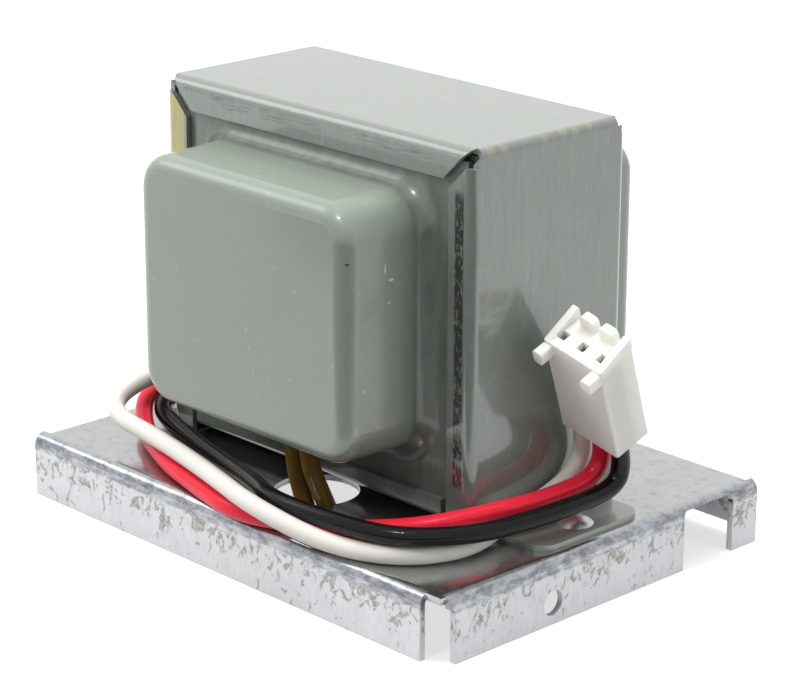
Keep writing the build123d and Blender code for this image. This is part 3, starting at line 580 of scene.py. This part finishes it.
def frame_steel():
    """Plated sheet of the frame: brushed up and down, with scuffed lips and yellow varnish stains."""
    finish = Finish(
        "frame_steel",
        Specular_IOR_Level=0.3,
        Coat_Weight=1.0,
        Coat_Roughness=0.07,
        Coat_IOR=1.62,
    )
    tree = finish.tree
    colour = mix(tree, cloud(tree, finish.place, 14, detail=3.0), STEEL_DARK, STEEL_LIGHT)
    brushing = cloud(tree, finish.place, (0.55, 0.35, 7.0), detail=4.0, roughness=0.65)
    colour = tint(tree, colour, STEEL_BRUSHED, rise(tree, brushing, 0.35, 0.70), 0.34)
    mottle = cloud(tree, finish.place, (1.6, 1.0, 3.0), detail=3.0, roughness=0.7)
    colour = tint(tree, colour, STEEL_MOTTLED, rise(tree, mottle, 0.50, 0.75), 0.40)
    # The top and the feet are painted paler, as painted light, with a faint cloudy bloom
    bloom = cloud(tree, finish.place, (5, 3, 5), detail=4.0, roughness=0.65)
    on_top = rise(tree, finish.z, FRAME_TOP - 1.2, FRAME_TOP - 0.1)
    painted_light_on_foot = rise(tree, finish.z, FOOT_FOLD + 1.0, FOOT_FOLD)
    pale = mix(tree, bloom, LIT_BLOOM_DARK, LIT_BLOOM_LIGHT)
    colour = mix(tree, work(tree, "ADD", on_top, painted_light_on_foot), colour, pale)
    # Black scuffed band up the right lip
    on_lip = work(tree, "LESS_THAN", finish.y, LIP_FACE + 0.1)
    worn = cloud(tree, finish.place, (0.40, 0.5, 0.9), detail=5.0, roughness=0.72)
    scuff = product(
        tree,
        finish.band(finish.x, *BLACK_BAND_X, 0.25),
        finish.band(finish.z, *BLACK_BAND_Z, 1.5),
        rise(tree, worn, 0.40, 0.48),
        on_lip,
    )
    # Brownish scuffs along the top lip
    rubbed = 0
    for low, high in LIP_SCUFF_X:
        rubbed = work(tree, "ADD", rubbed, finish.band(finish.x, low, high, 1.2))
    fine = cloud(tree, finish.place, (5.0, 0.6, 0.22), detail=6.0, roughness=0.62)
    lip_scuff = product(
        tree,
        finish.band(finish.z, *LIP_SCUFF_Z, 0.35),
        rubbed,
        rise(tree, fine, 0.46, 0.66),
        work(tree, "LESS_THAN", finish.y, LIP_FACE + 0.8),
    )
    colour = tint(tree, colour, LIP_BROWN, lip_scuff, 0.75)
    # Yellow varnish down the left lip, and drops along the bend of the top
    drip = cloud(tree, finish.place, (1.1, 1.1, 5.0), detail=3.0)
    varnish = product(
        tree,
        finish.band(finish.x, *VARNISH_X, 0.5),
        finish.band(finish.z, *VARNISH_Z, 2.0),
        rise(tree, drip, 0.10, 0.36),
        on_lip,
    )
    colour = tint(tree, colour, mix(tree, drip, VARNISH_DARK, VARNISH_LIGHT), varnish, 0.85)
    near_bend = rise(tree, finish.z, FRAME_TOP - 1.9, FRAME_TOP - 0.5)
    for x, y, reach in BEND_STAINS:
        stain = spot(finish, (x, y), (STAIN_HALF_WIDTH, reach), (finish.x, finish.y))
        colour = tint(tree, colour, STAIN_YELLOW, stain, near_bend, 0.20)
    flat_top = work(tree, "GREATER_THAN", finish.z, FRAME_TOP - 0.1)
    for x, y, long, wide in TOP_SPOTS:
        rust = spot(finish, (x, y), (long, wide), (finish.x, finish.y))
        colour = tint(tree, colour, RUST_BROWN, rust, flat_top, 0.75)
    colour = mix(tree, scuff, colour, SCUFF_BLACK)
    rub = use(tree, RUBBED, Place=finish.place, Share=0.55)
    finish.set("Base Color", tint(tree, colour, BARE_EDGE, rub["Mask"], 0.5))
    covered = product(tree, work(tree, "MAXIMUM", scuff, varnish), 0.35)
    finish.set("Metallic", work(tree, "SUBTRACT", STEEL_METALLIC, covered, clamp=True))
    finish.set("Roughness", work(tree, "MULTIPLY_ADD", brushing, 0.20, 0.26))
    finish.bump(work(tree, "SUBTRACT", brushing, scuff), 0.012, rub["Normal"])
    return finish.material


# Zinc of the plate: its colours
ZINC_TOP_DARK = (0.47, 0.48, 0.48)
ZINC_TOP_LIGHT = (0.57, 0.58, 0.58)
ZINC_BRUISE = (0.24, 0.25, 0.26)
ZINC_FLANGE_DARK = (0.57, 0.575, 0.595)
ZINC_FLANGE_LIGHT = (0.72, 0.725, 0.745)
ZINC_FLAKE = (0.23, 0.21, 0.185)
ZINC_STREAK = (0.44, 0.45, 0.475)
ZINC_BEND_DARK = (0.20, 0.215, 0.235)
ZINC_BEND_LIGHT = (0.45, 0.465, 0.49)
ZINC_EDGE = (0.27, 0.26, 0.25)
# Heights on the plate in millimetres
PLATE_TOP = 10.4
BEND_LOW = 8.0
FLAKES_Z = (6.0, 8.4)


def galvanised_steel():
    """Hot-dipped zinc: bright top, grey bend, and pale flanges with darker feathery flakes below it."""
    finish = Finish("galvanised_zinc", Specular_IOR_Level=0.5)
    tree = finish.tree
    top_colour = mix(tree, cloud(tree, finish.place, 9, detail=3.0), ZINC_TOP_DARK, ZINC_TOP_LIGHT)
    bruise = cloud(tree, finish.place, 1.5, detail=4.0, roughness=0.75, distortion=0.4)
    top_colour = tint(tree, top_colour, ZINC_BRUISE, rise(tree, bruise, 0.56, 0.68), 0.55)
    tone = cloud(tree, finish.place, 3.5, detail=3.0)
    flange_colour = mix(tree, tone, ZINC_FLANGE_DARK, ZINC_FLANGE_LIGHT)
    # Flakes hang from just below the bend and thin out downwards
    leaning = tree.nodes.new("ShaderNodeMapping")
    leaning.inputs["Rotation"].default_value = (radians(14), radians(-16), 0)
    feed(tree, leaning.inputs["Vector"], finish.place)
    lumps = cloud(tree, leaning.outputs[0], (2.1, 2.1, 3.0), detail=5.0, roughness=0.62, distortion=1.3)
    hang = product(tree, finish.band(finish.z, *FLAKES_Z, 3.4), 0.105)
    flakes = rise(tree, work(tree, "ADD", lumps, hang), 0.600, 0.655)
    depth = rise(tree, cloud(tree, finish.place, 0.7, detail=4.0, roughness=0.7), 0.30, 0.62)
    depth = work(tree, "MULTIPLY_ADD", depth, 0.62, 0.24)
    flange_colour = tint(tree, flange_colour, ZINC_FLAKE, flakes, depth)
    streaks = cloud(tree, finish.place, (0.5, 0.5, 2.6), detail=5.0, roughness=0.75, distortion=0.3)
    flange_colour = tint(tree, flange_colour, ZINC_STREAK, rise(tree, streaks, 0.48, 0.72), 0.5)
    patches = cloud(tree, finish.place, (2.4, 2.4, 1.0), detail=4.0, roughness=0.65)
    bend_colour = mix(tree, rise(tree, patches, 0.32, 0.68), ZINC_BEND_DARK, ZINC_BEND_LIGHT)
    # Flange, bend and top meet in ragged lines
    ragged = work(tree, "MULTIPLY_ADD", cloud(tree, finish.place, 1.6, detail=3.0), 1.2, -0.6)
    height = work(tree, "ADD", finish.z, ragged)
    above_flange = rise(tree, height, BEND_LOW - 0.4, BEND_LOW + 0.2)
    on_top = rise(tree, height, PLATE_TOP - 0.75, PLATE_TOP + 0.1)
    colour = mix(tree, above_flange, flange_colour, bend_colour)
    colour = mix(tree, on_top, colour, top_colour)
    rub = use(tree, RUBBED, Place=finish.place, Share=0.75)
    finish.set("Base Color", tint(tree, colour, ZINC_EDGE, rub["Mask"], 0.6))
    matt = work(tree, "SUBTRACT", 1, above_flange)
    finish.set("Metallic", work(tree, "MULTIPLY_ADD", matt, -0.45, 0.95))
    gloss = work(tree, "MULTIPLY_ADD", bruise, 0.12, 0.10)
    finish.set("Roughness", work(tree, "MULTIPLY_ADD", matt, 0.28, gloss))
    relief = work(tree, "ADD", product(tree, bruise, 0.5), product(tree, flakes, 0.4))
    finish.bump(relief, 0.012, rub["Normal"])
    return finish.material


def insulation(name, colour, dust, dust_share, roughness):
    """Extruded plastic insulation: glossy, with a fine grain and faint handling marks."""
    finish = Finish(name, Specular_IOR_Level=0.22)
    tree = finish.tree
    drift = cloud(tree, finish.place, 11, detail=2.0)
    grain = cloud(tree, finish.place, 0.28, detail=2.0)
    marks = rise(tree, cloud(tree, finish.place, 1.7, detail=4.0, roughness=0.7), 0.55, 0.75)
    deeper = tuple(0.82 * part for part in colour)
    base = tint(tree, colour, deeper, drift, 0.35)
    finish.set("Base Color", tint(tree, base, dust, marks, dust_share))
    finish.set("Roughness", work(tree, "MULTIPLY_ADD", marks, 0.12, roughness))
    finish.bump(grain, 0.02)
    return finish.material


def nylon(name, warm, pale, roughness, depth=0.0):
    """Moulded nylon: faint clouding, a fine matt grain, soft edges and, if pale, some light within."""
    finish = Finish(
        name,
        Specular_IOR_Level=0.4,
        Subsurface_Weight=depth,
        Subsurface_Scale=2 * MM,
        Subsurface_Radius=(1, 1, 1),
    )
    tree = finish.tree
    finish.set("Base Color", mix(tree, cloud(tree, finish.place, 5, detail=3.0), warm, pale))
    finish.set("Roughness", work(tree, "MULTIPLY_ADD", cloud(tree, finish.place, 1.5), 0.12, roughness))
    rub = use(tree, RUBBED, Place=finish.place, Share=0.5)
    finish.bump(cloud(tree, finish.place, 0.25, detail=3.0), 0.01, rub["Normal"])
    return finish.material


def bare_metal(name, colour, tarnish, roughness):
    """Plain metal with a light tarnish and fine drawing marks."""
    finish = Finish(name, Metallic=1.0)
    tree = finish.tree
    patches = rise(tree, cloud(tree, finish.place, 1.4, detail=4.0), 0.45, 0.7)
    finish.set("Base Color", mix(tree, patches, colour, tarnish))
    finish.set("Roughness", work(tree, "MULTIPLY_ADD", patches, 0.15, roughness))
    finish.bump(cloud(tree, finish.place, (0.2, 0.2, 1.2), detail=3.0), 0.006)
    return finish.material


# Thickness of a core sheet and width of the coil tape, in millimetres
CORE_SHEET = 0.5
TAPE_WIDTH = 5.0


def lamination_edges():
    """Edges of the stacked core sheets, with a line between each two, oxide blue and rust brown."""
    finish = Finish("lamination_edges", Metallic=0.6)
    tree = finish.tree
    sheet = work(tree, "FRACT", work(tree, "DIVIDE", finish.y, CORE_SHEET))
    line = rise(tree, work(tree, "ABSOLUTE", work(tree, "SUBTRACT", sheet, 0.5)), 0.36, 0.46)
    oxide = mix(tree, cloud(tree, finish.place, 4, detail=3.0), (0.10, 0.105, 0.12), (0.17, 0.13, 0.10))
    finish.set("Base Color", mix(tree, line, oxide, (0.02, 0.02, 0.02)))
    finish.set("Roughness", work(tree, "MULTIPLY_ADD", line, 0.2, 0.45))
    finish.bump(work(tree, "SUBTRACT", 1, line), 0.05)
    return finish.material


def winding(name, light, dark, wire):
    """Layers of enamelled wire that run round the coil, one turn above the other, with painted shade
    between the turns.
    """
    finish = Finish(name, Metallic=0.7, Coat_Weight=0.6)
    tree = finish.tree
    turn = work(tree, "FRACT", work(tree, "DIVIDE", finish.z, wire))
    crown_and_shade = work(tree, "SINE", work(tree, "MULTIPLY", turn, pi))
    # Painted shade: each turn is dark where it meets the next and light on its crown
    finish.set("Base Color", mix(tree, crown_and_shade, dark, light))
    finish.set("Roughness", work(tree, "MULTIPLY_ADD", cloud(tree, finish.place, 2), 0.1, 0.25))
    finish.bump(crown_and_shade, wire / 2)
    return finish.material


def coil_tape():
    """Yellow polyester tape over the windings, with the edges of its turns."""
    finish = Finish("coil_tape", Coat_Weight=0.4)
    tree = finish.tree
    wrinkle = cloud(tree, finish.place, (3, 3, 9), detail=3.0)
    turn = work(tree, "FRACT", work(tree, "DIVIDE", finish.z, TAPE_WIDTH))
    turn_edge = rise(tree, turn, 0.94, 1.0)
    finish.set("Base Color", mix(tree, wrinkle, (0.55, 0.42, 0.05), (0.66, 0.52, 0.09)))
    finish.set("Roughness", work(tree, "MULTIPLY_ADD", wrinkle, 0.2, 0.25))
    finish.bump(work(tree, "ADD", wrinkle, turn_edge), 0.06)
    return finish.material


def dress(piece, material):
    """Gives a piece its one material."""
    piece.data.materials.clear()
    piece.data.materials.append(material)


# Finish of each CAD node
enamel = cover_paint()
plated = frame_steel()
windings_tape = coil_tape()
core_edges = lamination_edges()
black_nylon = nylon("bushing_nylon", (0.02, 0.02, 0.02), (0.035, 0.035, 0.035), 0.4)
NODE_FINISHES = {
    "base_plate": galvanised_steel(),
    "shell_frame": plated,
    "bottom_channel": plated,
    "front_end_bell": enamel,
    "rear_end_bell": enamel,
    "e_laminations": core_edges,
    "i_laminations": core_edges,
    "bobbin": nylon("bobbin_nylon", (0.50, 0.48, 0.42), (0.58, 0.56, 0.50), 0.42),
    "primary_winding": winding("primary_wire", (0.50, 0.17, 0.04), (0.10, 0.03, 0.01), 0.4),
    "secondary_winding": winding("secondary_wire", (0.56, 0.22, 0.06), (0.12, 0.04, 0.01), 0.9),
    "primary_wrap": windings_tape,
    "secondary_wrap": windings_tape,
    "front_lead_bushing": black_nylon,
    "rear_lead_bushing": black_nylon,
    "secondary_lead_splices": nylon("splice_sleeves", (0.70, 0.69, 0.66), (0.78, 0.77, 0.74), 0.5),
    "foot_rivets": bare_metal("rivet_steel", (0.60, 0.62, 0.66), (0.46, 0.48, 0.52), 0.34),
    "connector_housing": nylon(
        "connector_nylon", (0.83, 0.815, 0.76), (0.87, 0.86, 0.815), 0.36, depth=0.5
    ),
    "crimp_terminals": bare_metal("terminal_brass", (0.66, 0.61, 0.42), (0.46, 0.42, 0.27), 0.34),
    "brown_conductor_ends": bare_metal("tinned_strands", (0.66, 0.64, 0.60), (0.50, 0.46, 0.40), 0.30),
}
for node_name, material in NODE_FINISHES.items():
    dress(nodes[node_name], material)

# Moulded edges of the connector housing: their radius, and how close points are joined, in millimetres
HOUSING_ROUNDING = 0.22
MERGE_WITHIN = 0.001
joined = nodes["connector_housing"].modifiers.new("joined_faces", "WELD")
joined.merge_threshold = MERGE_WITHIN * MM
rounding = nodes["connector_housing"].modifiers.new("moulded_edges", "BEVEL")
rounding.width = HOUSING_ROUNDING * MM
rounding.segments = 3
rounding.limit_method = "ANGLE"
rounding.angle_limit = radians(50)

# name: colour, dust colour, share of dust, roughness
INSULATION = {
    "white_lead": ((0.67, 0.650, 0.605), (0.50, 0.48, 0.41), 0.16, 0.32),
    "red_lead": ((0.72, 0.016, 0.040), (0.58, 0.05, 0.07), 0.15, 0.22),
    "black_lead": ((0.004, 0.004, 0.004), (0.012, 0.012, 0.012), 0.30, 0.17),
    "brown_lead_left": ((0.150, 0.085, 0.012), (0.22, 0.13, 0.03), 0.20, 0.30),
    "brown_lead_right": ((0.165, 0.095, 0.014), (0.24, 0.14, 0.03), 0.20, 0.30),
}
for lead_name, values in INSULATION.items():
    dress(leads[lead_name], insulation(lead_name, *values))

# Floor, soft light and background


def white_to_eye(tree):
    """1 for what the camera sees straight, or in metal or glass, and 0 for the light on the object."""
    path = tree.nodes.new("ShaderNodeLightPath")
    seen = work(tree, "ADD", path.outputs["Is Camera Ray"], path.outputs["Is Glossy Ray"])
    return work(tree, "ADD", seen, path.outputs["Is Transmission Ray"], clamp=True)


FLOOR_SIZE = 6
FLOOR_GREY = 0.34
FLOOR_GLOW = 0.68
FLOOR_DROP = 0.0001
bpy.ops.mesh.primitive_plane_add(size=FLOOR_SIZE, location=(0, 0, -FLOOR_DROP))
floor = bpy.context.object
floor.name = "floor"
floor_material = bpy.data.materials.new("pale_floor")
floor_material.use_nodes = True
floor_tree = floor_material.node_tree
floor_shader = floor_tree.nodes["Principled BSDF"]
floor_shader.inputs["Base Color"].default_value = (FLOOR_GREY, FLOOR_GREY, FLOOR_GREY, 1)
floor_shader.inputs["Roughness"].default_value = 0.9
floor_shader.inputs["Specular IOR Level"].default_value = 0.0
floor_shader.inputs["Emission Color"].default_value = (1, 1, 1, 1)
glow = work(floor_tree, "MULTIPLY", white_to_eye(floor_tree), FLOOR_GLOW)
feed(floor_tree, floor_shader.inputs["Emission Strength"], glow)
dress(floor, floor_material)


def area_light(name, place, target, size, power, in_gloss=False):
    """Square lamp at a place, facing a target. Only a lamp in the gloss shows as a highlight."""
    data = bpy.data.lights.new(name, "AREA")
    data.shape = "SQUARE"
    data.size = size
    data.energy = power
    lamp = bpy.data.objects.new(name, data)
    lamp.location = place
    lamp.rotation_euler = (Vector(target) - Vector(place)).to_track_quat("-Z", "Y").to_euler()
    lamp.visible_glossy = in_gloss
    bpy.context.scene.collection.objects.link(lamp)
    return lamp


# Soft lamps light the surfaces, and the sheen and spark lamps also show as highlights
MIDDLE = (0, 0, 0.035)
area_light("top_light", (-0.10, 0.10, 0.90), MIDDLE, 0.90, 12.5)
area_light("sheen_light", (-0.75, -0.33, 0.70), MIDDLE, 0.35, 0.9, in_gloss=True)
area_light("left_light", (-0.60, -0.72, 0.62), MIDDLE, 0.40, 6.5)
area_light("right_light", (0.90, 0.25, 0.45), MIDDLE, 0.40, 2.4)
area_light("spark_light", (0.10, -0.45, 0.75), MIDDLE, 0.03, 1.6, in_gloss=True)

# Dark card on the floor in front, seen only in the gloss of the rounded edges
CARD_SIZE = 0.42
CARD_HEIGHT = 0.0005
CARD_DISTANCE = 0.30
CARD_BEARING = radians(-66)
bpy.ops.mesh.primitive_plane_add(
    size=CARD_SIZE,
    location=(CARD_DISTANCE * cos(CARD_BEARING), CARD_DISTANCE * sin(CARD_BEARING), CARD_HEIGHT),
    rotation=(0, 0, CARD_BEARING),
)
card = bpy.context.object
card.name = "dark_card"
card_material = bpy.data.materials.new("dark_card")
card_material.use_nodes = True
card_shader = card_material.node_tree.nodes["Principled BSDF"]
card_shader.inputs["Base Color"].default_value = (0.02, 0.02, 0.02, 1)
card_shader.inputs["Roughness"].default_value = 1.0
dress(card, card_material)
card.visible_camera = False
card.visible_diffuse = False
card.visible_shadow = False

world = bpy.data.worlds.new("world")
bpy.context.scene.world = world
world.use_nodes = True
WORLD_FILL = 0.36
eye = white_to_eye(world.node_tree)
feed(
    world.node_tree,
    world.node_tree.nodes["Background"].inputs["Strength"],
    work(world.node_tree, "MULTIPLY_ADD", eye, 1 - WORLD_FILL, WORLD_FILL),
)
world.node_tree.nodes["Background"].inputs["Color"].default_value = (1, 1, 1, 1)
bpy.context.scene.view_settings.view_transform = "Standard"
